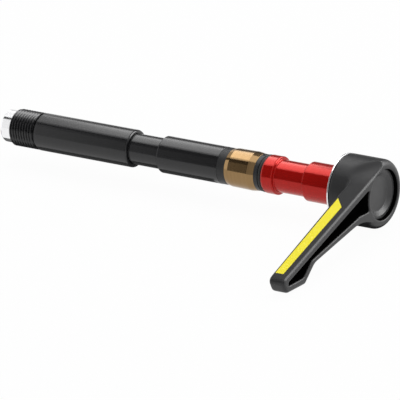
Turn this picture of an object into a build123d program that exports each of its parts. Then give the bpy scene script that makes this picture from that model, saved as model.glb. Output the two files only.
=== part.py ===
from build123d import *
import math
import os

# Bicycle thru axle with a plug-in lever, in millimetres.
# X runs along the axle from the threaded end towards the lever, Z is up,
# and the origin is on the axis in the face that clamps against the fork.

# Lengths along the axle, in order from the clamp face back to the nose
RED_LENGTH = 27.3
SEAL_WIDTH = 1.3
SPACER_WIDTH = 1.4
BRASS_WIDTH = 10.8
GUIDE_WIDTH = 2.8
MID_LENGTH = 22.8
NECK_LENGTH = 9.5
JOURNAL_LENGTH = 36.9
THREAD_LENGTH = 9.4
NOSE_LENGTH = 3.8

# Radii of the shaft
THREAD_R = 5.95
JOURNAL_R = 6.0
NECK_R = 4.92
MID_R = 5.88
SEAT_R = 4.7
STUB_R = 4.0
BORE_R = 2.9

# Turned detail of the shaft
THREAD_CHAMFER = 0.6
RELIEF_WIDTH = 0.7
RELIEF_DEPTH = 0.4
BEAD_WIDTH = 1.6
BEAD_ROUND = 0.6
GROOVE_WIDTH = 0.4
GROOVE_DEPTH = 0.3
NECK_ROUND = 0.4
MID_CHAMFER = 0.6
SHOULDER_WALL = 5.0

# Nose plug
NOSE_R = 5.2
NOSE_CHAMFER = 0.7
NOSE_STEM = 10.0

# Rings carried on the seat
GUIDE_R = 5.84
BRASS_END_R = 5.85
BRASS_LAND_R = 6.08
BRASS_CROWN_R = 6.2
BRASS_BEVEL = 1.4
BRASS_CROWN_BACK = 2.4
SPACER_R = 5.82
SPACER_ROUND = 0.2
SEAL_SQUEEZE = 0.04

# Red sleeve
FLANGE_R = 6.1
FLANGE_WIDTH = 4.2
FLANGE_BEVEL = 0.5
FLANGE_TOP_SHARE = 0.6
FLANGE_ROOT_SHARE = 0.35
RED_NECK_R = 5.15
COLLAR_R = 6.25
COLLAR_WIDTH = 12.4
COLLAR_CHAMFER = 0.5

# Clamp washer and ratchet
WASHER_THICK = 0.5
HUB_BOSS_R = 5.5
HUB_FLANGE_R = 7.6
HUB_FLANGE_THICK = 1.5
SPLINE_TEETH = 24
SPLINE_ROOT_R = 5.6
SPLINE_TIP_R = 6.3
SPLINE_LENGTH = 3.5
TOOTH_ROOT_SHARE = 0.30
TOOTH_TIP_SHARE = 0.14
HUB_LIP = 0.5
INSERT_R = 8.4
INSERT_FLAT = 7.7
INSERT_LENGTH = 3.1

# Lever head
HEAD_R = 10.9
HEAD_LENGTH = 13.7
HEAD_INNER_ROUND = 0.6
HEAD_OUTER_ROUND = 2.2
WEB_THICK = 1.5
RIM_WALL = 2.85
RECESS_DEPTH = 1.4

# Lever arm, along (L) and across (M) its own direction from the axis
ARM_LENGTH = 59.5
FLANK_AT_AXIS = 8.95
FLANK_AT_TIP = 4.3
TIP_DEPTH = 4.9
TIP_SLANT = 1.2
WAIST_L = 41.3
WAIST_M = 0.08
HOOK_RUN = 6.7
HOOK_DROP = 3.36
LOW_AT_AXIS = -2.6
ROOT_LOW_L = 13.5
ROOT_IN_L = 4.0
ROOT_IN_M = -8.6
TIP_TOP_ROUND = 1.5
TIP_LOW_ROUND = 2.0
HOOK_ROUND = 1.3
WAIST_ROUND = 5.0
ROOT_LOW_ROUND = 16.0
ARM_THICK_ROOT = 6.5
ARM_THICK_TIP = 5.4
ARM_INNER_ROUND = 0.6
ARM_OUTER_ROUND = 0.8
ARM_ROOT_ROUND = 1.2
LEVER_DROP = 9.7

# Scoop where the upper flank runs out over the head
SCOOP_IN_L = 6.5
SCOOP_IN_BACK = 6.8
SCOOP_OUT_L = -0.8
SCOOP_OUT_BACK = 0.7
SCOOP_SLOPE = 35.0
SCOOP_ROUND = 6.0

# Pocket in the outer face of the arm
POCKET_DEPTH = 3.6
POCKET_TOP_WALL_HEAD = 2.75
POCKET_TOP_WALL_TIP = 2.5
POCKET_TIP_WALL = 2.5
POCKET_TIP_SLANT = 0.6
POCKET_TIP_DEPTH = 0.35
POCKET_HOOK_WALL = 2.93
POCKET_HOOK_SHIFT = 0.4
POCKET_WAIST_WALL = 2.27
POCKET_WAIST_SHIFT = 1.6
POCKET_ROOT_WALL = 2.73
POCKET_ROOT_L = 15.0
POCKET_BOSS_WALL = 1.05
POCKET_BOSS_M = -0.8
POCKET_TIP_ROUND = 0.15
POCKET_HOOK_ROUND = 1.2
POCKET_WAIST_ROUND = 3.0

# Stripe let into the upper flank
STRIPE_DEPTH = 0.2
STRIPE_HEAD_L = 16.6
STRIPE_TIP_BACK = 3.7
STRIPE_SLANT = 3.85
STRIPE_WIDTH = 3.5
STRIPE_TAPER = 0.75
STRIPE_EDGE = 2.05

# End cap
CAP_THICK = 1.8
CAP_LAND = 1.15
CAP_SLOPE_RUN = 1.4
CAP_DISH = 0.9
CAP_RIM_ROUND = 0.25

# Pull rod, its washer and nut, and the return spring
ROD_R = 2.0
ROD_HEAD_R = 4.2
ROD_HEAD_THICK = 2.7
ROD_HEAD_CHAMFER = 0.4
SOCKET_ACROSS = 3.0
SOCKET_DEPTH = 1.6
ROD_WASHER_R = 4.6
ROD_WASHER_THICK = 0.5
NUT_LENGTH = 3.0
ROD_TAIL = 0.5
SPRING_ROOM = 13.0
SPRING_WIRE_R = 0.3
SPRING_COILS = 6.5

# Clearances
PRESS_GAP = 0.02
RUN_GAP = 0.05
WEB_GAP = 0.1
TOOTH_GAP = 0.15
FACE_GAP = 0.2
FLANGE_GAP = 0.3
CAP_GAP = 0.1
SPRING_END_GAP = 0.05

# Stations along X
red_start = -RED_LENGTH
seal_start = red_start - SEAL_WIDTH
spacer_start = seal_start - SPACER_WIDTH
brass_start = spacer_start - BRASS_WIDTH
guide_start = brass_start - GUIDE_WIDTH
mid_start = guide_start - MID_LENGTH
neck_start = mid_start - NECK_LENGTH
journal_start = neck_start - JOURNAL_LENGTH
thread_start = journal_start - THREAD_LENGTH
nose_end = thread_start - NOSE_LENGTH

head_in = WASHER_THICK
head_out = head_in + HEAD_LENGTH
hub_flange_end = head_in + HUB_FLANGE_THICK
hub_end = hub_flange_end + SPLINE_LENGTH
stub_end = hub_end - HUB_LIP
insert_start = hub_flange_end + FLANGE_GAP
insert_end = insert_start + INSERT_LENGTH
web_start = hub_end + FACE_GAP
web_end = web_start + WEB_THICK
rod_head_start = web_end + ROD_WASHER_THICK
rod_head_end = rod_head_start + ROD_HEAD_THICK
arm_root_x = head_out - ARM_THICK_ROOT
cap_front = head_out - RECESS_DEPTH
cap_back = cap_front - CAP_THICK
recess_r = HEAD_R - RIM_WALL
bore_end = -SHOULDER_WALL
nut_end = bore_end - SPRING_ROOM
nut_start = nut_end - NUT_LENGTH
rod_start = nut_start - ROD_TAIL

# Planes of the lever before it is turned to its resting angle
OUTER_PLANE = Plane(origin=(head_out, 0, 0), x_dir=(0, -1, 0), z_dir=(-1, 0, 0))
SIDE_PLANE = Plane(origin=(0, 0, 0), x_dir=(0, -1, 0), z_dir=(0, 0, 1))


def rounded(face, rounds):
    """Round the corners of a flat face, each given as (point, radius)."""
    for point, radius in rounds:
        corner = face.vertices().sort_by_distance((point[0], point[1], 0))[0]
        face = fillet(corner, radius)
    return face


def turned(points, rounds=()):
    """Turn an outline of (x, radius) points about the axle's axis."""
    face = make_face(Polyline(*points, close=True))
    return revolve(rounded(face, rounds), Axis.X)


def rod_along_x(radius, start, end):
    """A plain round bar on the axis between two stations."""
    return Pos(start, 0, 0) * (Plane.YZ * extrude(Circle(radius), end - start))


def make_axle_shaft():
    bead_start = neck_start - BEAD_WIDTH
    groove_start = bead_start - GROOVE_WIDTH
    relief_r = THREAD_R - RELIEF_DEPTH
    hole_r = ROD_R + RUN_GAP
    points = [
        (thread_start, BORE_R),
        (thread_start, THREAD_R - THREAD_CHAMFER),
        (thread_start + THREAD_CHAMFER, THREAD_R),
        (journal_start, THREAD_R),
        (journal_start, relief_r),
        (journal_start + RELIEF_WIDTH, relief_r),
        (journal_start + RELIEF_WIDTH, JOURNAL_R),
        (groove_start, JOURNAL_R),
        (groove_start, JOURNAL_R - GROOVE_DEPTH),
        (bead_start, JOURNAL_R - GROOVE_DEPTH),
        (bead_start, JOURNAL_R),
        (neck_start, JOURNAL_R),
        (neck_start, NECK_R),
        (mid_start, NECK_R),
        (mid_start, MID_R - MID_CHAMFER),
        (mid_start + MID_CHAMFER, MID_R),
        (guide_start, MID_R),
        (guide_start, SEAT_R),
        (red_start, SEAT_R),
        (red_start, STUB_R),
        (stub_end, STUB_R),
        (stub_end, hole_r),
        (bore_end, hole_r),
        (bore_end, BORE_R),
    ]
    rounds = [
        ((neck_start, JOURNAL_R), BEAD_ROUND),
        ((neck_start, NECK_R), NECK_ROUND),
    ]
    return turned(points, rounds)


def make_nose_plug():
    stem_r = BORE_R - PRESS_GAP
    points = [
        (nose_end, 0),
        (nose_end, NOSE_R - NOSE_CHAMFER),
        (nose_end + NOSE_CHAMFER, NOSE_R),
        (thread_start, NOSE_R),
        (thread_start, stem_r),
        (thread_start + NOSE_STEM, stem_r),
        (thread_start + NOSE_STEM, 0),
    ]
    return turned(points)


def make_guide_ring():
    hole_r = SEAT_R + PRESS_GAP
    points = [
        (guide_start, hole_r),
        (guide_start, GUIDE_R),
        (brass_start, GUIDE_R),
        (brass_start, hole_r),
    ]
    return turned(points)


def make_brass_ring():
    hole_r = SEAT_R + PRESS_GAP
    crown = spacer_start - BRASS_CROWN_BACK
    points = [
        (brass_start, hole_r),
        (brass_start, BRASS_END_R),
        (brass_start + BRASS_BEVEL, BRASS_LAND_R),
        (crown, BRASS_CROWN_R),
        (spacer_start - BRASS_BEVEL, BRASS_LAND_R),
        (spacer_start, BRASS_END_R),
        (spacer_start, hole_r),
    ]
    rounds = [((crown, BRASS_CROWN_R), BRASS_BEVEL)]
    return turned(points, rounds)


def make_spacer_ring():
    hole_r = SEAT_R + PRESS_GAP
    points = [
        (spacer_start, hole_r),
        (spacer_start, SPACER_R),
        (seal_start, SPACER_R),
        (seal_start, hole_r),
    ]
    rounds = [((seal_start, SPACER_R), SPACER_ROUND)]
    return turned(points, rounds)


def make_seal_ring():
    cord_r = SEAL_WIDTH / 2 - SEAL_SQUEEZE
    middle = (seal_start + red_start) / 2
    cord = Pos(middle, SEAT_R + PRESS_GAP + cord_r, 0) * Circle(cord_r)
    return revolve(cord, Axis.X)


def make_red_sleeve():
    hole_r = STUB_R + PRESS_GAP
    flange_end = red_start + FLANGE_WIDTH
    collar_start = -COLLAR_WIDTH
    points = [
        (red_start, hole_r),
        (red_start, FLANGE_R - FLANGE_BEVEL / 2),
        (red_start + FLANGE_BEVEL, FLANGE_R),
        (flange_end, FLANGE_R),
        (flange_end, RED_NECK_R),
        (collar_start, RED_NECK_R),
        (collar_start, COLLAR_R - COLLAR_CHAMFER),
        (collar_start + COLLAR_CHAMFER, COLLAR_R),
        (0, COLLAR_R),
        (0, hole_r),
    ]
    rise = FLANGE_R - RED_NECK_R
    rounds = [
        ((flange_end, FLANGE_R), FLANGE_TOP_SHARE * rise),
        ((flange_end, RED_NECK_R), FLANGE_ROOT_SHARE * rise),
    ]
    return turned(points, rounds)


def make_clamp_washer():
    hole_r = COLLAR_R + RUN_GAP
    points = [(0, hole_r), (0, HEAD_R), (head_in, HEAD_R), (head_in, hole_r)]
    return turned(points)


def spline_outline(gap):
    """Toothed outline of the ratchet, grown by a gap for the mating side."""
    pitch = 2 * math.pi / SPLINE_TEETH
    root_r = SPLINE_ROOT_R + gap
    tip_r = SPLINE_TIP_R + gap
    widen = gap / SPLINE_ROOT_R
    root_half = TOOTH_ROOT_SHARE * pitch + widen
    tip_half = TOOTH_TIP_SHARE * pitch + widen
    corners = [(root_r, -root_half), (tip_r, -tip_half), (tip_r, tip_half), (root_r, root_half)]
    points = []
    for tooth in range(SPLINE_TEETH):
        for radius, turn in corners:
            angle = tooth * pitch + turn
            points.append((radius * math.cos(angle), radius * math.sin(angle)))
    return make_face(Polyline(*points, close=True))


def make_ratchet_hub():
    boss = rod_along_x(HUB_BOSS_R, 0, head_in)
    flange = rod_along_x(HUB_FLANGE_R, head_in, hub_flange_end)
    teeth = Pos(hub_flange_end, 0, 0) * (Plane.YZ * extrude(spline_outline(0), SPLINE_LENGTH))
    stub_hole = rod_along_x(STUB_R + PRESS_GAP, 0, stub_end)
    rod_hole = rod_along_x(ROD_R + FLANGE_GAP, stub_end, hub_end)
    return boss + flange + teeth - stub_hole - rod_hole


def insert_outline():
    """Round outline with two flats that stop the insert turning in the lever."""
    return Circle(INSERT_R) & Rectangle(2 * HEAD_R, 2 * INSERT_FLAT)


def make_spline_insert():
    ring = extrude(insert_outline() - spline_outline(TOOTH_GAP), INSERT_LENGTH)
    return Pos(insert_start, 0, 0) * (Plane.YZ * ring)


def flank_m(along):
    """Height of the upper flank at a distance along the arm."""
    return FLANK_AT_AXIS + (FLANK_AT_TIP - FLANK_AT_AXIS) * along / ARM_LENGTH


def low_m(along):
    """Height of the arm's lower edge between the head and the waist."""
    return LOW_AT_AXIS + (WAIST_M - LOW_AT_AXIS) * along / WAIST_L


def arm_outline():
    """Outline of the hooked arm seen along the axle, starting inside the head."""
    tip_top = (ARM_LENGTH, FLANK_AT_TIP)
    tip_low = (ARM_LENGTH - TIP_SLANT, FLANK_AT_TIP - TIP_DEPTH)
    hook = (WAIST_L + HOOK_RUN, WAIST_M - HOOK_DROP)
    waist = (WAIST_L, WAIST_M)
    root_low = (ROOT_LOW_L, low_m(ROOT_LOW_L))
    points = [
        (0, FLANK_AT_AXIS),
        tip_top,
        tip_low,
        hook,
        waist,
        root_low,
        (ROOT_IN_L, ROOT_IN_M),
        (0, LOW_AT_AXIS),
    ]
    rounds = [
        (tip_top, TIP_TOP_ROUND),
        (tip_low, TIP_LOW_ROUND),
        (hook, HOOK_ROUND),
        (waist, WAIST_ROUND),
        (root_low, ROOT_LOW_ROUND),
    ]
    return rounded(make_face(Polyline(*points, close=True)), rounds)


def arm_wedge():
    """Side view of the arm: thick at the head and thinner at the tip."""
    reach = ARM_LENGTH + HEAD_R
    taper = (ARM_THICK_ROOT - ARM_THICK_TIP) / (ARM_LENGTH - HEAD_R)
    points = [
        (-reach, arm_root_x - (reach + HEAD_R) * taper),
        (reach, arm_root_x + (reach - HEAD_R) * taper),
        (reach, head_out),
        (-reach, head_out),
    ]
    side = make_face(Polyline(*points, close=True))
    return extrude(SIDE_PLANE * side, reach, both=True)


def make_arm():
    """Arm with its edges rounded, and the round where it leaves the head."""
    outline = arm_outline()
    arm = extrude(OUTER_PLANE * outline, HEAD_LENGTH) & arm_wedge()
    arm = fillet(arm.faces().sort_by(Axis.X)[-1].outer_wire().edges(), ARM_OUTER_ROUND)
    arm = fillet(arm.faces().sort_by(Axis.X)[0].outer_wire().edges(), ARM_INNER_ROUND)
    collar_in = arm_root_x - ARM_ROOT_ROUND
    collar_out = head_out - POCKET_DEPTH
    collar_r = HEAD_R + ARM_ROOT_ROUND
    buried_r = HEAD_R - ARM_ROOT_ROUND
    curve = CenterArc((collar_in, collar_r), ARM_ROOT_ROUND, -90, 90)
    rest = Polyline(
        (arm_root_x, collar_r),
        (collar_out, collar_r),
        (collar_out, buried_r),
        (collar_in, buried_r),
        (collar_in, HEAD_R),
    )
    collar = revolve(make_face(curve + rest), Axis.X)
    inset = offset(outline, -1.5 * ARM_ROOT_ROUND)
    return arm + (collar & extrude(OUTER_PLANE * inset, HEAD_LENGTH))


def pocket_outline():
    """Outline of the pocket, a wall's width inside the arm and round the cap."""
    tip_l = ARM_LENGTH - POCKET_TIP_WALL
    tip_m = flank_m(tip_l) - POCKET_TOP_WALL_TIP
    tip_top = (tip_l, tip_m)
    tip_low = (tip_l - POCKET_TIP_SLANT, tip_m - POCKET_TIP_DEPTH)
    hook_l = WAIST_L + HOOK_RUN + POCKET_HOOK_SHIFT
    hook = (hook_l, WAIST_M - HOOK_DROP + POCKET_HOOK_WALL)
    waist = (WAIST_L + POCKET_WAIST_SHIFT, WAIST_M + POCKET_WAIST_WALL)
    points = [
        (0, FLANK_AT_AXIS - POCKET_TOP_WALL_HEAD),
        tip_top,
        tip_low,
        hook,
        waist,
        (POCKET_ROOT_L, low_m(POCKET_ROOT_L) + POCKET_ROOT_WALL),
        (recess_r, POCKET_BOSS_M),
        (0, POCKET_BOSS_M),
    ]
    rounds = [
        (tip_top, POCKET_TIP_ROUND),
        (tip_low, POCKET_TIP_ROUND),
        (hook, POCKET_HOOK_ROUND),
        (waist, POCKET_WAIST_ROUND),
    ]
    boss_r = recess_r + POCKET_BOSS_WALL
    return rounded(make_face(Polyline(*points, close=True)), rounds) - Circle(boss_r)


def flank_plane():
    """Plane of the upper flank: local x along the arm, local y along the axle."""
    tilt = math.atan2(FLANK_AT_AXIS - FLANK_AT_TIP, ARM_LENGTH)
    along = (0, -math.cos(tilt), -math.sin(tilt))
    outward = (0, -math.sin(tilt), math.cos(tilt))
    return Plane(origin=(0, 0, FLANK_AT_AXIS), x_dir=along, z_dir=outward)


def make_lever_stripe():
    tip_l = ARM_LENGTH - STRIPE_TIP_BACK
    outer_x = head_out - STRIPE_EDGE
    inner_x = outer_x - STRIPE_WIDTH
    points = [
        (STRIPE_HEAD_L, inner_x),
        (tip_l, inner_x + STRIPE_TAPER),
        (tip_l, outer_x),
        (STRIPE_HEAD_L + STRIPE_SLANT, outer_x),
    ]
    return extrude(flank_plane() * make_face(Polyline(*points, close=True)), -STRIPE_DEPTH)


def block_below_scoop():
    """Block below the flank and a hollow slanting facet, which trims the head."""
    run_l = SCOOP_OUT_L - SCOOP_IN_L
    run_x = SCOOP_IN_BACK - SCOOP_OUT_BACK
    crease = math.hypot(run_l, run_x)
    slope = math.radians(SCOOP_SLOPE)
    out = math.sin(slope) / crease
    normal = (run_x * out, -run_l * out, math.cos(slope))
    start = (SCOOP_IN_L, head_out - SCOOP_IN_BACK, 0)
    facet = Plane(origin=start, z_dir=normal)
    beyond = extrude(facet * Rectangle(8 * HEAD_R, 8 * HEAD_R), 4 * HEAD_R)
    above = Pos(0, 0, 2 * HEAD_R) * Box(8 * HEAD_R, 8 * HEAD_R, 4 * HEAD_R)
    scoop = above & beyond
    scoop = fillet(scoop.edges().sort_by_distance(start)[0], SCOOP_ROUND)
    block = Pos(0, head_out - 2 * HEAD_R, 0) * Box(4 * HEAD_R, 4 * HEAD_R, 4 * HEAD_R) - scoop
    rim = block.faces().sort_by(Axis.Y)[-1].edges().sort_by_distance((0, head_out, 0))[0:3]
    return flank_plane() * fillet(rim, ARM_OUTER_ROUND)


def make_lever(stripe):
    inner_rim = (head_in, HEAD_R)
    outer_rim = (head_out, HEAD_R)
    rounds = [(inner_rim, HEAD_INNER_ROUND), (outer_rim, HEAD_OUTER_ROUND)]
    head = turned([(head_in, 0), inner_rim, outer_rim, (head_out, 0)], rounds)
    body = (head & block_below_scoop()) + make_arm()

    flange_room = rod_along_x(HUB_FLANGE_R + FLANGE_GAP, head_in, insert_start)
    insert_room = Pos(insert_start, 0, 0) * (Plane.YZ * extrude(insert_outline(), INSERT_LENGTH))
    hub_room = rod_along_x(SPLINE_TIP_R + FLANGE_GAP, insert_end, web_start)
    rod_hole = rod_along_x(ROD_R + WEB_GAP, web_start, web_end)
    rod_room = rod_along_x(ROD_WASHER_R + FLANGE_GAP, web_end, cap_back)
    cap_room = rod_along_x(recess_r, cap_back, head_out)
    pocket = extrude(OUTER_PLANE * pocket_outline(), POCKET_DEPTH)
    for cut in (flange_room, insert_room, hub_room, rod_hole, rod_room, cap_room, pocket, stripe):
        body = body - cut
    return body


def make_end_cap():
    cap_r = recess_r - CAP_GAP
    rim_r = recess_r - CAP_LAND
    floor_r = rim_r - CAP_SLOPE_RUN
    floor = cap_front - CAP_DISH
    points = [
        (cap_back, 0),
        (cap_back, cap_r),
        (cap_front, cap_r),
        (cap_front, rim_r),
        (floor, floor_r),
        (floor, 0),
    ]
    rounds = [
        ((cap_front, cap_r), CAP_RIM_ROUND),
        ((floor, floor_r), CAP_DISH),
    ]
    return turned(points, rounds)


def make_pull_rod():
    points = [
        (rod_start, 0),
        (rod_start, ROD_R),
        (rod_head_start, ROD_R),
        (rod_head_start, ROD_HEAD_R),
        (rod_head_end - ROD_HEAD_CHAMFER, ROD_HEAD_R),
        (rod_head_end, ROD_HEAD_R - ROD_HEAD_CHAMFER),
        (rod_head_end, 0),
    ]
    socket = extrude(RegularPolygon(SOCKET_ACROSS / 2, 6, major_radius=False), SOCKET_DEPTH)
    return turned(points) - Pos(rod_head_end - SOCKET_DEPTH, 0, 0) * (Plane.YZ * socket)


def make_rod_washer():
    hole_r = ROD_R + RUN_GAP
    points = [
        (web_end, hole_r),
        (web_end, ROD_WASHER_R),
        (rod_head_start, ROD_WASHER_R),
        (rod_head_start, hole_r),
    ]
    return turned(points)


def make_rod_nut():
    hole_r = ROD_R + PRESS_GAP
    nut_r = BORE_R - WEB_GAP
    points = [(nut_start, hole_r), (nut_start, nut_r), (nut_end, nut_r), (nut_end, hole_r)]
    return turned(points)


def make_return_spring():
    coil_r = (ROD_R + BORE_R) / 2
    inset = SPRING_WIRE_R + SPRING_END_GAP
    height = SPRING_ROOM - 2 * inset
    path = Helix(height / SPRING_COILS, height, coil_r)
    wire = Plane(path @ 0, z_dir=path % 0) * Circle(SPRING_WIRE_R)
    coil = sweep(wire, path=path, is_frenet=True)
    return Pos(nut_end + inset, 0, 0) * Rot(0, 90, 0) * coil


def build():
    stripe = make_lever_stripe()
    turn_down = Rot(LEVER_DROP, 0, 0)
    return {
        "axle_shaft": make_axle_shaft(),
        "nose_plug": make_nose_plug(),
        "guide_ring": make_guide_ring(),
        "brass_ring": make_brass_ring(),
        "spacer_ring": make_spacer_ring(),
        "seal_ring": make_seal_ring(),
        "red_sleeve": make_red_sleeve(),
        "clamp_washer": make_clamp_washer(),
        "ratchet_hub": turn_down * make_ratchet_hub(),
        "return_spring": make_return_spring(),
        "pull_rod": make_pull_rod(),
        "rod_washer": make_rod_washer(),
        "rod_nut": make_rod_nut(),
        "lever": turn_down * make_lever(stripe),
        "lever_stripe": turn_down * stripe,
        "spline_insert": turn_down * make_spline_insert(),
        "end_cap": make_end_cap(),
    }


os.makedirs("parts", exist_ok=True)
for node, solid in build().items():
    export_step(solid, f"parts/{node}.step")
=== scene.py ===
import math

import bpy
import numpy as np
from mathutils import Matrix, Vector


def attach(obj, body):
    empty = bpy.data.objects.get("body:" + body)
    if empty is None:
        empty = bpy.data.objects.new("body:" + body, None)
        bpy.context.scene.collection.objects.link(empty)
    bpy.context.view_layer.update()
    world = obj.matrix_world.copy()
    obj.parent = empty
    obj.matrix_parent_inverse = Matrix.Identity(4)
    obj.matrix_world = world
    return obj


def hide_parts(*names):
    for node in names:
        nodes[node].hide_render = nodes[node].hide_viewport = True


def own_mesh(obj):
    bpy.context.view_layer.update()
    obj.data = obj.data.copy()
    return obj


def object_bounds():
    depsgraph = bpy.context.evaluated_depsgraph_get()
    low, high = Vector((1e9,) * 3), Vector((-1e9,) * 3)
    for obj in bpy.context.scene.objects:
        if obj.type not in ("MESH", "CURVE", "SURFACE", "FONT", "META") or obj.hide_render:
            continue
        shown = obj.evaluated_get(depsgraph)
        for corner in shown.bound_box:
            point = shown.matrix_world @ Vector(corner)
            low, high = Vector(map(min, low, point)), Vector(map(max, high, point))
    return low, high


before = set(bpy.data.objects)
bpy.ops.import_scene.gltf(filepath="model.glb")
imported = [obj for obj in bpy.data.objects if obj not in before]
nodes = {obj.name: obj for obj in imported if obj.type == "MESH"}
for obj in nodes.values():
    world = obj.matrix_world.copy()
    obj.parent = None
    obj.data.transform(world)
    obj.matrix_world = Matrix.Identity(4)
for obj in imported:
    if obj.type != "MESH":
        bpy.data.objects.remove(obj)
cad_low, cad_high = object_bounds()

MM = 0.001
TINY = 1e-6

# Stations along the axle, in millimetres from the clamp face
NOSE_END = -126.0
NOSE_FACE = -122.2
NOSE_STEM_END = -112.2
THREAD_END = -112.8
RELIEF_END = -112.1
SHOULDER = -77.15
UNDERCUT_END = -76.8
NECK_END = -66.4
MID_END = -43.6
GUIDE_END = -40.8
BRASS_END = -30.0
SPACER_END = -28.6
SEAT_END = -27.3
FLANGE_END = -23.1
COLLAR_START = -12.4
WALL_START = -5.0
STUB_END = 5.0

# Radii round the axle's axis, in millimetres
NOSE_TIP_R = 4.5
NOSE_R = 5.2
THREAD_R = 5.95
THREAD_ROOT_R = 5.42
RELIEF_R = 5.55
JOURNAL_R = 6.0
UNDERCUT_R = 4.65
NECK_R = 4.92
MID_R = 5.88
SEAT_R = 4.7
STUB_R = 4.0
BORE_R = 2.9
ROD_HOLE_R = 2.05
GUIDE_R = 5.84
BRASS_EDGE_R = 5.85
BRASS_BEVEL_R = 6.08
BRASS_CROWN_R = 6.2
SPACER_R = 5.82
FLANGE_EDGE_R = 5.85
FLANGE_R = 6.1
SLEEVE_NECK_R = 5.15
COLLAR_R = 6.25

# Bevels and gaps of the turned pieces, in millimetres
CHAMFER = 0.6
SHOULDER_ROUND = 0.75
NOSE_BEVEL = 0.7
BRASS_BEVEL = 1.4
BRASS_CROWN = 2.4
SLEEVE_BEVEL = 0.5
PRESS_GAP = 0.02
WASHER_GAP = 0.05
CORD_R = 0.61

# Thread: pitch in millimetres, rows of points for each turn, and the crest's form
THREAD_PITCH = 1.0
THREAD_ROWS = 12
CREST_GAIN = 1.18
ROOT_FLAT = 0.06
CREST_ROUND = 0.35

# Fineness of the turned meshes
AROUND = 160
CORD_SIDES = 20
ARC_STEPS = 5
ARC_SHARE = 0.45
LONG_RUN = 0.3
SUPPORT_STEP = 0.03
TURNED_SHARP = 40
CORD_SHARP = 60

# Lever head and cap, in millimetres
HEAD_IN = 0.5
HEAD_OUT = 14.2
HEAD_R = 10.9
BOSS_R = 9.1
RECESS_R = 8.05
CAP_FRONT = 12.8
CAP_BACK = 11.0
CAP_FLOOR = 11.9
CAP_GAP = 0.1
CAP_LIP_R = 6.9
CAP_DISH_R = 5.5

# Lever arm, along (L) and across (M) it from the axis, in millimetres
LEVER_DROP = math.radians(9.7)
DROP_COS = math.cos(LEVER_DROP)
DROP_SIN = math.sin(LEVER_DROP)
ARM_LENGTH = 59.5
FLANK_START = 8.95
FLANK_FALL = 4.65
POCKET_DEPTH = 3.6
POCKET_FLOOR = HEAD_OUT - POCKET_DEPTH
POCKET_END = 57.0

# Widening of the pocket: distances from a wall with none and all of its push,
# the length over which the push fades, and the softness between two walls
PUSH_NONE = 1.5
PUSH_ALL = 0.5
PUSH_FADE = 1.0
WALL_BLEND = 0.02

# Rounding of the lever's mesh: each pair is where a share starts and is whole
LEVER_VOXEL = 0.18
LEVER_TRIANGLES = 150000
EASE_STEP = 0.5
EDGE_ROUNDS = 4
HOLLOW_ROUNDS = 70
HOLLOW_X, HOLLOW_L, HOLLOW_M = 10.5, 5.0, 9.3
HOLLOW_REACH = (9.0, 4.0)
HOLLOW_BOSS = (8.5, 9.2)
HOLLOW_FACE = (13.5, 12.0)
RIDGE_ROUNDS = 16
RIDGE_REACH = (1.3, 0.5)
RIDGE_START = (1.0, 3.0)
TIP_START = (56.5, 58.5)

# Margins of the painted shade in the pocket and the recess, in millimetres
SHADE_BELOW = 0.5
SHADE_RIM = 0.35
SHADE_GROWN = 0.35
RECESS_BAND = 0.4
RECESS_RIM = 0.3


def linked(name, data):
    """New object in the scene."""
    obj = bpy.data.objects.new(name, data)
    bpy.context.scene.collection.objects.link(obj)
    return obj


def new_object(name, verts, faces):
    """Mesh object in the scene from points in metres."""
    mesh = bpy.data.meshes.new(name)
    mesh.from_pydata(verts, [], faces)
    mesh.update()
    return linked(name, mesh)


def smooth(mesh):
    """Smooth shading on every face."""
    for polygon in mesh.polygons:
        polygon.use_smooth = True


def smooth_turned(obj, angle):
    """Smooth shading with sharp edges above an angle in degrees."""
    smooth(obj.data)
    obj.data.set_sharp_from_angle(angle=math.radians(angle))


# Turned pieces


def eased(points):
    """Outline of (x, r, round) corners with each corner turned into an arc."""
    out = []
    count = len(points)
    for i, (x, r, size) in enumerate(points):
        here = Vector((x, r))
        before = Vector(points[i - 1][:2]) - here
        after = Vector(points[(i + 1) % count][:2]) - here
        if size <= 0:
            out.append((x, r))
            continue
        angle = before.angle(after)
        reach = size / math.tan(angle / 2)
        reach = min(reach, ARC_SHARE * before.length, ARC_SHARE * after.length)
        start = here + before.normalized() * reach
        end = here + after.normalized() * reach
        for k in range(ARC_STEPS + 1):
            t = k / ARC_STEPS
            p = start * (1 - t) ** 2 + here * (2 * t * (1 - t)) + end * t**2
            out.append((p.x, p.y))
    return out


def supported(rows):
    """Rows with a close neighbour at both ends of each long straight run."""
    out = []
    for i, row in enumerate(rows):
        out.append(row)
        here = Vector(row)
        ahead = Vector(rows[(i + 1) % len(rows)]) - here
        if ahead.length > LONG_RUN:
            step = ahead.normalized() * SUPPORT_STEP
            out.append(tuple(here + step))
            out.append(tuple(here + ahead - step))
    return out


def thread_r(x, angle):
    """Radius of the threaded part: a right-hand ridge with a rounded crest."""
    phase = (x - NOSE_FACE) / THREAD_PITCH - angle / (2 * math.pi)
    across = abs(2 * (phase - math.floor(phase)) - 1)
    height = min(1.0, max(0.0, CREST_GAIN * across - ROOT_FLAT))
    rounded = height * height * (3 - 2 * height)
    height = rounded * CREST_ROUND + height * (1 - CREST_ROUND)
    r = THREAD_ROOT_R + (THREAD_R - THREAD_ROOT_R) * height
    start = THREAD_R - CHAMFER + (x - NOSE_FACE)
    return min(r, start)


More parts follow.
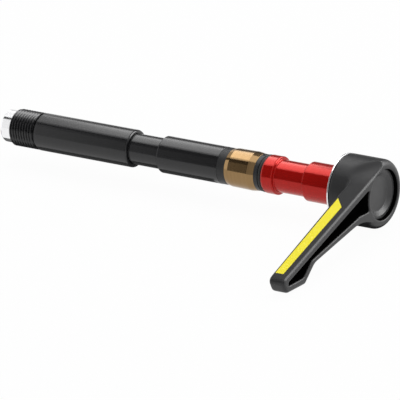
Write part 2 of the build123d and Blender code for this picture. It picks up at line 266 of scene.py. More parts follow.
def turned(name, rows):
    """Closed turned mesh from rows of (x, r), where r may depend on the angle."""
    verts = []
    rings = []
    for x, r in rows:
        if not callable(r) and r < TINY:
            rings.append([len(verts)] * AROUND)
            verts.append((x * MM, 0, 0))
            continue
        rings.append(range(len(verts), len(verts) + AROUND))
        for k in range(AROUND):
            angle = 2 * math.pi * k / AROUND
            radius = r(x, angle) if callable(r) else r
            y = radius * math.cos(angle)
            z = radius * math.sin(angle)
            verts.append((x * MM, y * MM, z * MM))
    faces = []
    for i, ring in enumerate(rings):
        following = rings[(i + 1) % len(rings)]
        for k in range(AROUND):
            m = (k + 1) % AROUND
            corners = (ring[k], ring[m], following[m], following[k])
            face = tuple(dict.fromkeys(corners))
            if len(face) > 2:
                faces.append(face)
    return new_object(name, verts, faces)


def eased_piece(name, points):
    """Turned piece from an outline of (x, r, round) corners."""
    piece = turned(name, supported(eased(points)))
    smooth_turned(piece, TURNED_SHARP)
    return piece


def make_shaft():
    """Shaft with its thread, journal, shoulder, neck, seat for the rings and bore."""
    chamfer_r = THREAD_R - CHAMFER
    outline = [
        (NOSE_FACE, BORE_R, 0.1),
        (NOSE_FACE, chamfer_r, 0),
        (THREAD_END, RELIEF_R, 0.1),
        (RELIEF_END, RELIEF_R, 0.1),
        (RELIEF_END, JOURNAL_R, 0.1),
        (SHOULDER, JOURNAL_R, SHOULDER_ROUND),
        (SHOULDER, UNDERCUT_R, 0.12),
        (UNDERCUT_END, UNDERCUT_R, 0.12),
        (UNDERCUT_END, NECK_R, 0.1),
        (NECK_END, NECK_R, 0.25),
        (NECK_END, MID_R - CHAMFER, 0.15),
        (NECK_END + CHAMFER, MID_R, 0.3),
        (MID_END, MID_R, 0.08),
        (MID_END, SEAT_R, 0.05),
        (SEAT_END, SEAT_R, 0.05),
        (SEAT_END, STUB_R, 0.05),
        (STUB_END, STUB_R, 0.1),
        (STUB_END, ROD_HOLE_R, 0.1),
        (WALL_START, ROD_HOLE_R, 0.1),
        (WALL_START, BORE_R, 0.1),
    ]
    rows = eased(outline)
    first = next(i for i, row in enumerate(rows) if row[1] > chamfer_r - TINY)
    step = THREAD_PITCH / THREAD_ROWS
    count = int(round((THREAD_END - NOSE_FACE) / step))
    ridge = [(NOSE_FACE + step * k, thread_r) for k in range(1, count)]
    # The last two rows support the run that the ridge takes up
    plain = supported(rows[first + 1 :] + rows[: first + 1])[:-2]
    shaft = turned("shaft_turned", ridge + plain)
    smooth_turned(shaft, TURNED_SHARP)
    return shaft


def make_nose():
    """Plug with a bevelled end and a stem in the shaft's bore."""
    stem_r = BORE_R - PRESS_GAP
    return eased_piece(
        "nose_turned",
        [
            (NOSE_END, 0, 0),
            (NOSE_END, NOSE_TIP_R, 0.25),
            (NOSE_END + NOSE_BEVEL, NOSE_R, 0.35),
            (NOSE_FACE, NOSE_R, 0.05),
            (NOSE_FACE, stem_r, 0.05),
            (NOSE_STEM_END, stem_r, 0.2),
            (NOSE_STEM_END, 0, 0),
        ],
    )


def make_seal(hole_r):
    """Round cord between the spacer and the sleeve."""
    middle = (SPACER_END + SEAT_END) / 2
    cord = []
    for k in range(CORD_SIDES):
        t = 2 * math.pi * k / CORD_SIDES
        r = hole_r + CORD_R * (1 + math.sin(t))
        cord.append((middle - CORD_R * math.cos(t), r))
    seal = turned("seal_turned", cord)
    smooth_turned(seal, CORD_SHARP)
    return seal


def make_rings():
    """Turned rings on the shaft, by the node that each stands for."""
    hole_r = SEAT_R + PRESS_GAP
    seal = make_seal(hole_r)
    guide = [
        (MID_END, hole_r, 0.05),
        (MID_END, GUIDE_R, 0.12),
        (GUIDE_END, GUIDE_R, 0.12),
        (GUIDE_END, hole_r, 0.05),
    ]
    brass_outline = [
        (GUIDE_END, hole_r, 0.05),
        (GUIDE_END, BRASS_EDGE_R, 0.06),
        (GUIDE_END + BRASS_BEVEL, BRASS_BEVEL_R, 0.6),
        (BRASS_END - BRASS_CROWN, BRASS_CROWN_R, 1.4),
        (BRASS_END - BRASS_BEVEL, BRASS_BEVEL_R, 0.3),
        (BRASS_END, BRASS_EDGE_R, 0.06),
        (BRASS_END, hole_r, 0.05),
    ]
    spacer = [
        (BRASS_END, hole_r, 0.05),
        (BRASS_END, SPACER_R, 0.08),
        (SPACER_END, SPACER_R, 0.2),
        (SPACER_END, hole_r, 0.05),
    ]
    sleeve_hole = STUB_R + PRESS_GAP
    sleeve = [
        (SEAT_END, sleeve_hole, 0.05),
        (SEAT_END, FLANGE_EDGE_R, 0.1),
        (SEAT_END + SLEEVE_BEVEL, FLANGE_R, 0.2),
        (FLANGE_END, FLANGE_R, 0.57),
        (FLANGE_END, SLEEVE_NECK_R, 0.33),
        (COLLAR_START, SLEEVE_NECK_R, 0.2),
        (COLLAR_START, COLLAR_R - SLEEVE_BEVEL, 0.12),
        (COLLAR_START + SLEEVE_BEVEL, COLLAR_R, 0.2),
        (0, COLLAR_R, 0.05),
        (0, sleeve_hole, 0.05),
    ]
    washer_hole = COLLAR_R + WASHER_GAP
    washer = [
        (0, washer_hole, 0.05),
        (0, HEAD_R, 0.1),
        (HEAD_IN, HEAD_R, 0.1),
        (HEAD_IN, washer_hole, 0.05),
    ]
    return {
        "guide_ring": eased_piece("guide_turned", guide),
        "brass_ring": eased_piece("brass_turned", brass_outline),
        "spacer_ring": eased_piece("spacer_turned", spacer),
        "seal_ring": seal,
        "red_sleeve": eased_piece("sleeve_turned", sleeve),
        "clamp_washer": eased_piece("washer_turned", washer),
    }


def make_cap():
    """Dished cap in the recess of the lever's head."""
    cap_r = RECESS_R - CAP_GAP
    return eased_piece(
        "cap_turned",
        [
            (CAP_BACK, 0, 0),
            (CAP_BACK, cap_r, 0.1),
            (CAP_FRONT, cap_r, 0.25),
            (CAP_FRONT, CAP_LIP_R, 0.3),
            (CAP_FLOOR, CAP_DISH_R, 0.9),
            (CAP_FLOOR, 0, 0),
        ],
    )


# Moulded lever and its spring


def ramp(values, start, end):
    """Smooth step from 0 at start to 1 at end."""
    t = np.clip((values - start) / (end - start), 0, 1)
    return t * t * (3 - 2 * t)


def arm_frame(points):
    """Distances along (L) and across (M) the arm, for points in millimetres."""
    along = -points[:, 1] * DROP_COS - points[:, 2] * DROP_SIN
    across = -points[:, 1] * DROP_SIN + points[:, 2] * DROP_COS
    return along, across


def flank_m(along):
    """Height of the arm's upper flank at a distance along it."""
    return FLANK_START - FLANK_FALL * along / ARM_LENGTH


# Corners of the arm's pocket (L, M), clockwise, each with how far the wall
# that leads to it is pushed out, so that the eased rim keeps its width
POCKET_CORNERS = [
    (POCKET_END, flank_m(POCKET_END) - 2.5, 0.3),
    (56.4, flank_m(POCKET_END) - 2.85, 0.4),
    (48.4, -0.35, 0.55),
    (42.9, 2.35, 0.55),
    (15.0, 1.103, 0.5),
    (8.05, -0.8, 0.3),
    (0.0, -0.8, 0.0),
    (0.0, 6.2, 0.0),
]


def pocket_walls():
    """Start, run and push of each wall of the pocket, in turn."""
    for i, (l1, m1, push) in enumerate(POCKET_CORNERS):
        l0, m0, _ = POCKET_CORNERS[i - 1]
        yield l0, m0, l1 - l0, m1 - m0, push


def wall_distance(along, across, l0, m0, run, rise):
    """Distance of points (L, M) from one wall of the pocket."""
    t = ((along - l0) * run + (across - m0) * rise) / (run**2 + rise**2)
    t = np.clip(t, 0, 1)
    return np.hypot(along - l0 - t * run, across - m0 - t * rise)


def in_pocket(along, across, grown):
    """Which points (L, M) lie inside the arm's pocket, grown by a margin."""
    inside = np.zeros(len(along), dtype=bool)
    near = np.zeros(len(along), dtype=bool)
    for l0, m0, run, rise, push in pocket_walls():
        crossed = (m0 > across) != (m0 + rise > across)
        if rise:
            inside ^= crossed & (along < l0 + (across - m0) * run / rise)
        near |= wall_distance(along, across, l0, m0, run, rise) < grown + push
    return (inside | near) & (np.hypot(along, across) > BOSS_R - grown)


def widen_pocket(points):
    """Push the pocket's walls out, and let the push fade over the rim and the floor."""
    along, across = arm_frame(points)
    total = np.zeros(len(points))
    move = np.zeros((len(points), 2))
    nearest = np.full(len(points), np.inf)
    for l0, m0, run, rise, push in pocket_walls():
        away = wall_distance(along, across, l0, m0, run, rise)
        nearest = np.minimum(nearest, away)
        weight = 1 / (away**2 + WALL_BLEND) ** 2
        total += weight
        out = np.array([-rise, run]) * push / math.hypot(run, rise)
        move += weight[:, None] * out
    share = ramp(nearest, PUSH_NONE, PUSH_ALL)
    share = share * ramp(np.hypot(along, across), BOSS_R, BOSS_R + PUSH_FADE)
    share = share * ramp(points[:, 0], POCKET_FLOOR - PUSH_FADE, POCKET_FLOOR)
    move *= (share / total)[:, None]
    moved = points.copy()
    moved[:, 1] -= move[:, 0] * DROP_COS + move[:, 1] * DROP_SIN
    moved[:, 2] += move[:, 1] * DROP_COS - move[:, 0] * DROP_SIN
    return moved


def ease_mesh(points, edges, share, rounds):
    """Points drawn towards their neighbours' mean, by each point's share."""
    count = len(points)
    ends = np.concatenate([edges[:, 0], edges[:, 1]])
    others = np.concatenate([edges[:, 1], edges[:, 0]])
    degree = np.bincount(ends, minlength=count)[:, None]
    for _ in range(rounds):
        sums = [np.bincount(ends, points[others, k], count) for k in range(3)]
        mean = np.stack(sums, axis=1) / degree
        points = points + (mean - points) * (EASE_STEP * share[:, None])
    return points


def triples(items, attribute):
    """Vectors of a mesh's items, in millimetres."""
    values = np.empty(len(items) * 3)
    items.foreach_get(attribute, values)
    return values.reshape(-1, 3) / MM


def applied(piece):
    """Give a piece the mesh that its modifiers make, and take them off."""
    graph = bpy.context.evaluated_depsgraph_get()
    mesh = bpy.data.meshes.new_from_object(piece.evaluated_get(graph))
    piece.modifiers.clear()
    piece.data = mesh
    return mesh


def make_lever():
    """CAD lever with rounded edges, a wider pocket and a soft hollow behind its head."""
    piece = linked("lever_moulded", nodes["lever"].data.copy())
    remesh = piece.modifiers.new("remesh", "REMESH")
    remesh.mode = "VOXEL"
    remesh.voxel_size = LEVER_VOXEL * MM
    mesh = applied(piece)
    points = triples(mesh.vertices, "co")
    edges = np.empty(len(mesh.edges) * 2, dtype=np.int32)
    mesh.edges.foreach_get("vertices", edges)
    edges = edges.reshape(-1, 2)

    everywhere = np.ones(len(points))
    points = ease_mesh(widen_pocket(points), edges, everywhere, EDGE_ROUNDS)

    along, across = arm_frame(points)
    out = np.sqrt(
        (points[:, 0] - HOLLOW_X) ** 2
        + (along - HOLLOW_L) ** 2
        + (across - HOLLOW_M) ** 2
    )
    hollow = ramp(out, *HOLLOW_REACH) * ramp(np.hypot(along, across), *HOLLOW_BOSS)
    hollow = hollow * ramp(points[:, 0], *HOLLOW_FACE)
    points = ease_mesh(points, edges, hollow, HOLLOW_ROUNDS)

    ridge = np.hypot(points[:, 0] - HEAD_OUT, across - flank_m(along))
    ridge = ramp(ridge, *RIDGE_REACH) * ramp(along, *RIDGE_START)
    tip = ramp(along, *TIP_START)
    points = ease_mesh(points, edges, np.maximum(ridge, tip), RIDGE_ROUNDS)

    mesh.vertices.foreach_set("co", (points * MM).ravel())
    mesh.update()
    thin = piece.modifiers.new("thin", "DECIMATE")
    thin.ratio = min(1.0, LEVER_TRIANGLES / (2 * len(mesh.polygons)))
    smooth(applied(piece))
    return piece


def paint_pocket_shade(piece, shade):
    """Painted shade: a near-black material on the faces in the arm's pocket and on the
    wall of the cap's recess, where shade falls.
    """
    mesh = piece.data
    mesh.materials.append(shade)
    centres = triples(mesh.polygons, "center")
    along, across = arm_frame(centres)
    x = centres[:, 0]
    # Faces deep in the pocket and on the recess wall get the painted shade
    deep = (x > POCKET_FLOOR - SHADE_BELOW) & (x < HEAD_OUT - SHADE_RIM)
    wall = np.abs(np.hypot(along, across) - RECESS_R) < RECESS_BAND
    wall &= (x > CAP_BACK) & (x < HEAD_OUT - RECESS_RIM)
    shaded_faces = wall | deep & in_pocket(along, across, SHADE_GROWN)
    mesh.polygons.foreach_set("material_index", shaded_faces.astype(np.int32))


def make_spring():
    """Copy of the CAD spring's mesh."""
    return linked("spring_wound", nodes["return_spring"].data.copy())


# Materials

# Noise scales for each axis: fine and wide rings of turning, grain and clouds
TURNED_FINE = (14000, 40, 40)
TURNED_WIDE = (900, 25, 25)
MOULDED_FINE = (7000, 7000, 7000)
MOULDED_CLOUD = (160, 160, 160)
FINE_DETAIL = 3.0
WIDE_DETAIL = 2.0
NOISE_RANGE = (0.25, 0.75)
SHADES_RANGE = (0.3, 0.7)

# Heights of the bumps, in metres
TURNED_BUMP = 0.00002
MOULDED_BUMP = 0.00004
BEVEL_SAMPLES = 6
QUARTER_TURN = 0.25

# Coarser finish on the arm's flank: how far a face looks up, how far out it is
# along Y in metres, and what is added to the roughness
FLANK_UP = (0.8, 0.96)
FLANK_OUT = (-0.010, -0.004)
FLANK_COARSER = 0.42


def material(name, color, roughness, metallic, ior):
    """Principled material and its shader node."""
    mat = bpy.data.materials.new(name)
    mat.use_nodes = True
    bsdf = mat.node_tree.nodes["Principled BSDF"]
    bsdf.inputs["Base Color"].default_value = (*color, 1)
    bsdf.inputs["Roughness"].default_value = roughness
    bsdf.inputs["Metallic"].default_value = metallic
    bsdf.inputs["IOR"].default_value = ior
    return mat, bsdf


def node(owner, kind, **values):
    """New shader node in a material or world."""
    made = owner.node_tree.nodes.new(kind)
    for key, value in values.items():
        setattr(made, key, value)
    return made


def wire(owner, source, target):
    """Link two sockets of a material or world."""
    owner.node_tree.links.new(source, target)


def grain(mat, scale, detail):
    """Noise over the object's own coordinates, stretched by a scale for each axis."""
    coords = node(mat, "ShaderNodeTexCoord")
    mapping = node(mat, "ShaderNodeMapping")
    mapping.inputs["Scale"].default_value = scale
    noise = node(mat, "ShaderNodeTexNoise")
    noise.inputs["Scale"].default_value = 1.0
    noise.inputs["Detail"].default_value = detail
    wire(mat, coords.outputs["Object"], mapping.inputs["Vector"])
    wire(mat, mapping.outputs["Vector"], noise.inputs["Vector"])
    return noise.outputs["Fac"]


def spread(mat, source, low, high, start, end):
    """Map a value between start and end to the range from low to high."""
    remap = node(mat, "ShaderNodeMapRange")
    remap.inputs["From Min"].default_value = start
    remap.inputs["From Max"].default_value = end
    remap.inputs["To Min"].default_value = low
    remap.inputs["To Max"].default_value = high
    wire(mat, source, remap.inputs["Value"])
    return remap.outputs["Result"]


def shades(mat, source, colors, target):
    """Colour between two shades by a noise value."""
    between = node(mat, "ShaderNodeValToRGB")
    stops = between.color_ramp.elements
    for stop, position, color in zip(stops, SHADES_RANGE, colors):
        stop.position = position
        stop.color = (*color, 1)
    wire(mat, source, between.inputs["Fac"])
    wire(mat, between.outputs["Color"], target)


def bumped(mat, bsdf, source, strength, distance, edge=0.0):
    """Bump from a noise value, over edges softened by a small radius."""
    bump = node(mat, "ShaderNodeBump")
    bump.inputs["Strength"].default_value = strength
    bump.inputs["Distance"].default_value = distance
    wire(mat, source, bump.inputs["Height"])
    if edge:
        bevel = node(mat, "ShaderNodeBevel", samples=BEVEL_SAMPLES)
        bevel.inputs["Radius"].default_value = edge
        wire(mat, bevel.outputs["Normal"], bump.inputs["Normal"])
    wire(mat, bump.outputs["Normal"], bsdf.inputs["Normal"])


def turned_metal(name, dark, light, roughness, metallic, ior=1.5, bump=0.06, streak=0.0):
    """Lathe-turned finish with fine rings, and a streak along the axle if wanted."""
    mat, bsdf = material(name, light, roughness[1], metallic, ior)
    fine = grain(mat, TURNED_FINE, FINE_DETAIL)
    wide = grain(mat, TURNED_WIDE, WIDE_DETAIL)
    shades(mat, wide, (dark, light), bsdf.inputs["Base Color"])
    wire(mat, spread(mat, fine, *roughness, *NOISE_RANGE), bsdf.inputs["Roughness"])
    bumped(mat, bsdf, fine, bump, TURNED_BUMP)
    if streak:
        bsdf.inputs["Anisotropic"].default_value = streak
        bsdf.inputs["Anisotropic Rotation"].default_value = QUARTER_TURN
        tangent = node(mat, "ShaderNodeTangent", direction_type="RADIAL", axis="X")
        wire(mat, tangent.outputs["Tangent"], bsdf.inputs["Tangent"])
    return mat


def moulded(name, dark, light, roughness, bump, edge=0.0, ior=1.5):
    """Moulded finish with a fine grain and faint clouds."""
    mat, bsdf = material(name, light, roughness[1], 0.0, ior)
    fine = grain(mat, MOULDED_FINE, FINE_DETAIL)
    cloud = grain(mat, MOULDED_CLOUD, WIDE_DETAIL)
    shades(mat, cloud, (dark, light), bsdf.inputs["Base Color"])
    wire(mat, spread(mat, fine, *roughness, *NOISE_RANGE), bsdf.inputs["Roughness"])
    bumped(mat, bsdf, fine, bump, MOULDED_BUMP, edge)
    return mat


def roughen_flank(mat):
    """Coarser finish on the arm's upper flank, eased in by the surface's own direction."""
    bsdf = mat.node_tree.nodes["Principled BSDF"]
    plain = bsdf.inputs["Roughness"].links[0].from_socket
    coords = node(mat, "ShaderNodeTexCoord")
    facing = node(mat, "ShaderNodeVectorMath", operation="DOT_PRODUCT")
    facing.inputs[1].default_value = (0, -DROP_SIN, DROP_COS)
    wire(mat, coords.outputs["Normal"], facing.inputs[0])
    upward = spread(mat, facing.outputs["Value"], 0.0, 1.0, *FLANK_UP)
    parts = node(mat, "ShaderNodeSeparateXYZ")
    wire(mat, coords.outputs["Object"], parts.inputs["Vector"])
    outward = spread(mat, parts.outputs["Y"], 1.0, 0.0, *FLANK_OUT)
    share = node(mat, "ShaderNodeMath", operation="MULTIPLY")
    wire(mat, upward, share.inputs[0])
    wire(mat, outward, share.inputs[1])
    coarser = node(mat, "ShaderNodeMath", operation="MULTIPLY_ADD")
    coarser.inputs[1].default_value = FLANK_COARSER
    wire(mat, share.outputs["Value"], coarser.inputs[0])
    wire(mat, plain, coarser.inputs[2])
    wire(mat, coarser.outputs["Value"], bsdf.inputs["Roughness"])


black_anodised = turned_metal(
    "black_anodised",
    dark=(0.006, 0.006, 0.007),
    light=(0.009, 0.009, 0.010),
    roughness=(0.15, 0.2),
    metallic=0.0,
)
bright_aluminium = turned_metal(
    "bright_aluminium",
    dark=(0.88, 0.88, 0.89),
    light=(0.92, 0.92, 0.93),
    roughness=(0.09, 0.12),
    metallic=1.0,
    bump=0.01,
)
black_polymer = moulded(
    "black_polymer",
    dark=(0.007, 0.007, 0.008),
    light=(0.011, 0.011, 0.012),
    roughness=(0.38, 0.5),
    bump=0.1,
    ior=1.45,
)
brass = turned_metal(
    "brass",
    dark=(0.26, 0.164, 0.076),
    light=(0.295, 0.188, 0.089),
    roughness=(0.12, 0.15),
    metallic=1.0,
    bump=0.012,
    streak=0.3,
)
grey_polymer = moulded(
    "grey_polymer",
    dark=(0.008, 0.009, 0.011),
    light=(0.012, 0.013, 0.016),
    roughness=(0.32, 0.42),
    bump=0.06,
    ior=1.45,
)
seal_rubber = moulded(
    "seal_rubber",
    dark=(0.004, 0.004, 0.004),
    light=(0.008, 0.008, 0.008),
    roughness=(0.5, 0.65),
    bump=0.1,
)
red_anodised = turned_metal(
    "red_anodised",
    dark=(0.46, 0.005, 0.003),
    light=(0.48, 0.006, 0.004),
    roughness=(0.12, 0.15),
    metallic=0.36,
    ior=1.45,
    bump=0.015,
)
red_bsdf = red_anodised.node_tree.nodes["Principled BSDF"]
red_bsdf.inputs["Specular Tint"].default_value = (1, 0.92, 0.85, 1)
polished_steel = turned_metal(
    "polished_steel",
    dark=(0.74, 0.74, 0.75),
    light=(0.86, 0.86, 0.87),
    roughness=(0.12, 0.22),
    metallic=1.0,
)
hardened_steel = turned_metal(
    "hardened_steel",
    dark=(0.34, 0.34, 0.35),
    light=(0.44, 0.44, 0.45),
    roughness=(0.28, 0.4),
    metallic=1.0,
)
spring_steel = turned_metal(
    "spring_steel",
    dark=(0.42, 0.42, 0.43),
    light=(0.54, 0.54, 0.55),
    roughness=(0.25, 0.35),
    metallic=1.0,
)
lever_composite = moulded(
    "lever_composite",
    dark=(0.011, 0.011, 0.012),
    light=(0.015, 0.015, 0.016),
    roughness=(0.36, 0.44),
    bump=0.16,
    ior=1.45,
)
roughen_flank(lever_composite)
cap_composite = moulded(
    "cap_composite",
    dark=(0.036, 0.036, 0.037),
    light=(0.046, 0.046, 0.047),
    roughness=(0.34, 0.44),
    bump=0.08,
    edge=0.0002,
    ior=1.45,
)
# Near-black material that paints shade in the arm's pocket and on the wall of the cap's
# recess
painted_pocket_shade = moulded(
    "painted_pocket_shade",
    dark=(0.001, 0.001, 0.001),
    light=(0.002, 0.002, 0.002),
    roughness=(0.8, 0.9),
    bump=0.1,
    ior=1.04,
)
yellow_film = moulded(
    "yellow_film",
    dark=(0.93, 0.81, 0.009),
    light=(0.95, 0.83, 0.011),
    roughness=(0.4, 0.5),
    bump=0.003,
    ior=1.3,
)

RING_FINISH = {
    "guide_ring": ("black_polymer", black_polymer),
    "brass_ring": ("brass", brass),
    "spacer_ring": ("grey_polymer", grey_polymer),
    "seal_ring": ("seal_rubber", seal_rubber),
    "red_sleeve": ("red_anodised", red_anodised),
    "clamp_washer": ("polished_steel", polished_steel),
}
# Finish of the CAD nodes that no piece here stands for
CAD_FINISH = {
    "ratchet_hub": hardened_steel,
    "pull_rod": hardened_steel,
    "rod_washer": polished_steel,
    "rod_nut": hardened_steel,
    "lever_stripe": yellow_film,
    "spline_insert": hardened_steel,
}


def dress(obj, mat):
    """Give an object one material."""
    obj.data.materials.clear()
    obj.data.materials.append(mat)


def fit(piece, body, slot, mat, *replaced):
    """Give a new piece its material, let it ride on a body and hide the CAD nodes that it
    stands for.
    """
    dress(piece, mat)
    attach(piece, body)
    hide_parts(*replaced)


fit(make_shaft(), "axle", "black_anodised", black_anodised, "axle_shaft")
fit(make_nose(), "axle", "bright_aluminium", bright_aluminium, "nose_plug")
for name, piece in make_rings().items():
    ring_slot, ring_material = RING_FINISH[name]
    fit(piece, "axle", ring_slot, ring_material, name)
fit(make_cap(), "lever", "cap_composite", cap_composite, "end_cap")
lever_piece = make_lever()
fit(lever_piece, "lever", "lever_composite", lever_composite, "lever")
# Painted shade in the lever's pocket and on the recess wall
paint_pocket_shade(lever_piece, painted_pocket_shade)
spring_piece = make_spring()
fit(spring_piece, "axle", "spring_steel", spring_steel, "return_spring")
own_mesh(spring_piece)
for name, mat in CAD_FINISH.items():
    dress(nodes[name], mat)

# Stage: camera, floor, cards and soft light, in metres

VIEW_RIGHT = Vector((0.83767, 0.54232, -0.06427))
VIEW_UP = Vector((-0.15882, 0.35448, 0.92150))
VIEW_BACK = Vector((0.52250, -0.76170, 0.38310))
VIEW_POINT = Vector((-0.05625, 0, 0))
VIEW_SHIFT_RIGHT = 0.00248
VIEW_SHIFT_DOWN = 0.01282
VIEW_DISTANCE = 2.0
LENS = 576.16
SENSOR = 36.0

FLOOR_HALF = 6.0
FLOOR_GAP = 0.0001
PAPER = 0.86
FLOOR_IN_MIRRORS = 0.95
FLOOR_TO_CAMERA = 0.965
WHITE = (1, 1, 1, 1)
QUAD = [(0, 1, 2, 3)]


def placed(right, up, back, where):
    """Matrix of an object with these axes at a place."""
    matrix = Matrix((right, up, back)).transposed().to_4x4()
    matrix.translation = where
    return matrix


camera_data = bpy.data.cameras.new("camera")
camera_data.lens = LENS
camera_data.sensor_width = SENSOR
camera = linked("camera", camera_data)
view_from = VIEW_POINT + VIEW_RIGHT * VIEW_SHIFT_RIGHT - VIEW_UP * VIEW_SHIFT_DOWN
view_from += VIEW_BACK * VIEW_DISTANCE
camera.matrix_world = placed(VIEW_RIGHT, VIEW_UP, VIEW_BACK, view_from)
bpy.context.scene.camera = camera


def plain_material(name):
    """Material with an empty node tree, and its output node."""
    mat = bpy.data.materials.new(name)
    mat.use_nodes = True
    mat.node_tree.nodes.clear()
    return mat, node(mat, "ShaderNodeOutputMaterial")


def floor_material():
    """Matt paper that reads as white to the camera and pale in reflections."""
    mat, out = plain_material("floor")
    paper = node(mat, "ShaderNodeBsdfDiffuse")
    paper.inputs["Color"].default_value = (PAPER, PAPER, PAPER, 1)
    white = node(mat, "ShaderNodeEmission")
    white.inputs["Color"].default_value = WHITE
    white.inputs["Strength"].default_value = 1.0
    path = node(mat, "ShaderNodeLightPath")
    mirrored = node(mat, "ShaderNodeMath", operation="MAXIMUM")
    pale = node(mat, "ShaderNodeMath", operation="MULTIPLY")
    pale.inputs[1].default_value = FLOOR_IN_MIRRORS
    direct = node(mat, "ShaderNodeMath", operation="MULTIPLY")
    direct.inputs[1].default_value = FLOOR_TO_CAMERA
    share = node(mat, "ShaderNodeMath", operation="MAXIMUM")
    mix = node(mat, "ShaderNodeMixShader")
    wire(mat, path.outputs["Is Glossy Ray"], mirrored.inputs[0])
    wire(mat, path.outputs["Is Transmission Ray"], mirrored.inputs[1])
    wire(mat, mirrored.outputs["Value"], pale.inputs[0])
    wire(mat, path.outputs["Is Camera Ray"], direct.inputs[0])
    wire(mat, direct.outputs["Value"], share.inputs[0])
    wire(mat, pale.outputs["Value"], share.inputs[1])
    wire(mat, share.outputs["Value"], mix.inputs["Fac"])
    wire(mat, paper.outputs["BSDF"], mix.inputs[1])
    wire(mat, white.outputs["Emission"], mix.inputs[2])
    wire(mat, mix.outputs["Shader"], out.inputs["Surface"])
    return mat


floor_z = cad_low.z - FLOOR_GAP
floor = new_object(
    "floor",
    [
        (-FLOOR_HALF, -FLOOR_HALF, floor_z),
        (FLOOR_HALF, -FLOOR_HALF, floor_z),
        (FLOOR_HALF, FLOOR_HALF, floor_z),
        (-FLOOR_HALF, FLOOR_HALF, floor_z),
    ],
    QUAD,
)
dress(floor, floor_material())

# Directions square to the axle, and the stations and bends of the cards round it
STUDIO_FRONT = Vector((0, -0.8934, 0.4493))
STUDIO_TOP = Vector((0, 0.4493, 0.8934))
FAR = 0.6
BEND_STEPS = 12
LEFT = -0.9
FAR_LEFT = -0.6
NOSE_SPLIT = -0.488
THREAD_RIGHT = -0.479
BRASS_LEFT = -0.412
BRASS_RIGHT = -0.397
BOX_BACK_RIGHT = -0.358
BOX_RIGHT = -0.345
TOP_FAR = -0.29
FRONT_RIGHT = -0.26
RIGHT = 0.0

# Stations between which a card with two levels changes from one to the other
CHANGE_START = -0.49
CHANGE_END = -0.4

# Name, angles from and to, stations left and right, and the level of the glow,
# with a second one where it changes along the card
BENT_CARDS = [
    ("front_card", -32, 24, NOSE_SPLIT, FRONT_RIGHT, 0.6, 0.07),
    ("front_card_left", -32, 39, FAR_LEFT, NOSE_SPLIT, 0.95),
    ("front_card_far", -32, 39, LEFT, FAR_LEFT, 1.4),
    ("front_card_right", -32, 47, FRONT_RIGHT, RIGHT, 0.5),
    ("gap_card", 24, 47, NOSE_SPLIT, BRASS_RIGHT, 0.06),
    ("gap_card_right", 24, 45, BRASS_RIGHT, FRONT_RIGHT, 0.06),
    ("gap_card_left", 39, 56, LEFT, NOSE_SPLIT, 0.06),
    ("box_low_edge", 47, 56, NOSE_SPLIT, BRASS_RIGHT, 1.6),
    ("box_low_right", 45, 56, BRASS_RIGHT, BOX_RIGHT, 2.6),
    ("box_card_left", 56, 113, LEFT, THREAD_RIGHT, 0.95),
    ("box_card", 56, 113, THREAD_RIGHT, BRASS_LEFT, 4.2, 3.5),
    ("box_card_middle", 56, 113, BRASS_LEFT, BRASS_RIGHT, 1.6),
    ("box_card_front", 56, 92, BRASS_RIGHT, BOX_RIGHT, 3.6),
    ("box_card_back", 92, 113, BRASS_RIGHT, BOX_BACK_RIGHT, 4.8),
    ("box_high_edge", 113, 121, LEFT, BOX_BACK_RIGHT, 2.0),
    ("back_card", 121, 168, NOSE_SPLIT, BRASS_RIGHT, 0.25),
    ("back_card_right", 121, 168, BRASS_RIGHT, RIGHT, 0.15),
    ("back_card_left", 121, 168, LEFT, NOSE_SPLIT, 0.8),
    ("top_right_card", 47, 92, BOX_RIGHT, RIGHT, 1.9),
    ("top_dim_card", 92, 121, BOX_BACK_RIGHT, TOP_FAR, 0.15),
    ("top_far_card", 92, 121, TOP_FAR, RIGHT, 0.35),
]

# Tall card behind the lever, narrower towards its foot
RIM_MIDDLE = Vector((0.475, 0.59, 0.55))
RIM_SIDE = Vector((0.78, -0.63, 0)) * 0.4
RIM_RISE = Vector((-0.36, -0.45, 0.81)) * 0.42
RIM_DROP = Vector((0, 0, RIM_RISE.z - RIM_MIDDLE.z))
RIM_WAIST = 0.5
RIM_FOOT = 0.2
RIM_LEVEL = 7.0

# Dim upright card beside the lever
FLAG_X = 0.8
FLAG_FRONT = -1.2
FLAG_BACK = 0.0
FLAG_TOP = 1.2
FLAG_LEVEL = 0.05

# Dim cards on the floor, seen only in reflections, that paint the shadow under the axle
# and under the lever's head: name, left, right, front, back and level
FLOOR_CARD_LIFT = 0.0002
FLOOR_CARDS = [
    ("shadow_under_axle_card", -0.15, -0.05, -0.006, 0.03, 0.15),
    ("shadow_under_head_card", -0.003, 0.0145, -0.016, 0.012, 0.05),
]


def studio_dir(angle):
    """Direction square to the axle, from the camera's side (0) over the top (90)."""
    t = math.radians(angle)
    return STUDIO_FRONT * math.cos(t) + STUDIO_TOP * math.sin(t)


def card_material(name, level, far_level):
    """Even glow, or one that changes from one level to another along the card."""
    mat, out = plain_material(name)
    light = node(mat, "ShaderNodeEmission")
    light.inputs["Color"].default_value = WHITE
    light.inputs["Strength"].default_value = level
    if far_level is not None:
        coords = node(mat, "ShaderNodeTexCoord")
        parts = node(mat, "ShaderNodeSeparateXYZ")
        wire(mat, coords.outputs["Object"], parts.inputs["Vector"])
        station = parts.outputs["X"]
        glow = spread(mat, station, level, far_level, CHANGE_START, CHANGE_END)
        wire(mat, glow, light.inputs["Strength"])
    wire(mat, light.outputs["Emission"], out.inputs["Surface"])
    return mat


def card(name, verts, faces, level, far_level=None):
    """Glowing card that is seen only in reflections."""
    made = new_object(name, verts, faces)
    dress(made, card_material(name, level, far_level))
    made.visible_camera = False
    made.visible_diffuse = False
    made.visible_shadow = False
    made.visible_transmission = False


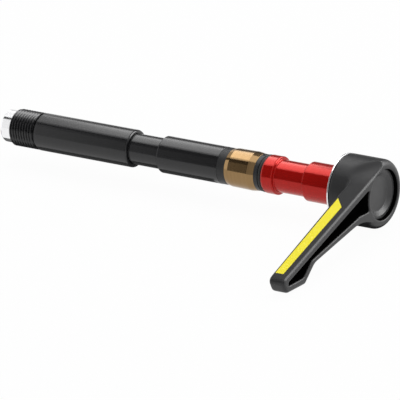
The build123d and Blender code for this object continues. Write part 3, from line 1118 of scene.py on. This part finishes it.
def bent_card(name, start, end, left, right, level, far_level=None):
    """Card bent round the axle between two angles and two stations."""
    verts = []
    for k in range(BEND_STEPS + 1):
        across = studio_dir(start + (end - start) * k / BEND_STEPS) * FAR
        verts.append(across + Vector((left, 0, 0)))
        verts.append(across + Vector((right, 0, 0)))
    faces = [(2 * k, 2 * k + 1, 2 * k + 3, 2 * k + 2) for k in range(BEND_STEPS)]
    card(name, verts, faces, level, far_level)


def floor_card(name, left, right, front, back, level):
    """Card that lies just above the floor."""
    z = floor_z + FLOOR_CARD_LIFT
    corners = [(left, front, z), (right, front, z), (right, back, z), (left, back, z)]
    card(name, corners, QUAD, level)


for bent_row in BENT_CARDS:
    bent_card(*bent_row)
card(
    "rim_card",
    [
        RIM_MIDDLE - RIM_SIDE + RIM_RISE,
        RIM_MIDDLE + RIM_SIDE + RIM_RISE,
        RIM_MIDDLE - RIM_SIDE * RIM_WAIST - RIM_RISE,
        RIM_MIDDLE + RIM_SIDE - RIM_RISE,
        RIM_MIDDLE - RIM_SIDE * RIM_FOOT - RIM_RISE + RIM_DROP,
        RIM_MIDDLE + RIM_SIDE - RIM_RISE + RIM_DROP,
    ],
    [(0, 1, 3, 2), (2, 3, 5, 4)],
    RIM_LEVEL,
)
card(
    "side_flag",
    [
        (FLAG_X, FLAG_FRONT, floor_z),
        (FLAG_X, FLAG_BACK, floor_z),
        (FLAG_X, FLAG_BACK, FLAG_TOP),
        (FLAG_X, FLAG_FRONT, FLAG_TOP),
    ],
    QUAD,
    FLAG_LEVEL,
)
for floor_row in FLOOR_CARDS:
    floor_card(*floor_row)


def soft_box(name, where, aim, along, size, depth, radiance):
    """Rectangular lamp that looks from one place at another, unseen in reflections."""
    data = bpy.data.lights.new(name, "AREA")
    data.shape = "RECTANGLE"
    data.size = size
    data.size_y = depth
    data.energy = radiance * math.pi * size * depth
    lamp = linked(name, data)
    back = (where - aim).normalized()
    right = (along - back * along.dot(back)).normalized()
    lamp.matrix_world = placed(right, back.cross(right), back, where)
    lamp.visible_glossy = False


soft_box(
    "top_box",
    where=Vector((-0.1, 0.25, 0.8)),
    aim=Vector((-0.05, 0, 0)),
    along=Vector((1, 0, 0)),
    size=0.7,
    depth=0.6,
    radiance=2.6,
)
soft_box(
    "side_box",
    where=Vector((0.8, -0.15, 0.3)),
    aim=Vector((0, 0, 0)),
    along=Vector((0, 1, 0)),
    size=0.5,
    depth=0.5,
    radiance=2.0,
)

# Surround: white where it is seen or mirrored, dimmer as a light
SURROUND_LIGHT = 0.5
SURROUND_SEEN = 1.0


def studio_world():
    """World of the studio's white surround."""
    world = bpy.data.worlds.new("studio")
    world.use_nodes = True
    background = world.node_tree.nodes["Background"]
    background.inputs["Color"].default_value = WHITE
    path = node(world, "ShaderNodeLightPath")
    seen = node(world, "ShaderNodeMath", operation="MAXIMUM")
    also = node(world, "ShaderNodeMath", operation="MAXIMUM")
    wire(world, path.outputs["Is Camera Ray"], seen.inputs[0])
    wire(world, path.outputs["Is Glossy Ray"], seen.inputs[1])
    wire(world, seen.outputs["Value"], also.inputs[0])
    wire(world, path.outputs["Is Transmission Ray"], also.inputs[1])
    level = spread(world, also.outputs["Value"], SURROUND_LIGHT, SURROUND_SEEN, 0.0, 1.0)
    wire(world, level, background.inputs["Strength"])
    return world


bpy.context.scene.world = studio_world()
bpy.context.scene.view_settings.view_transform = "Standard"
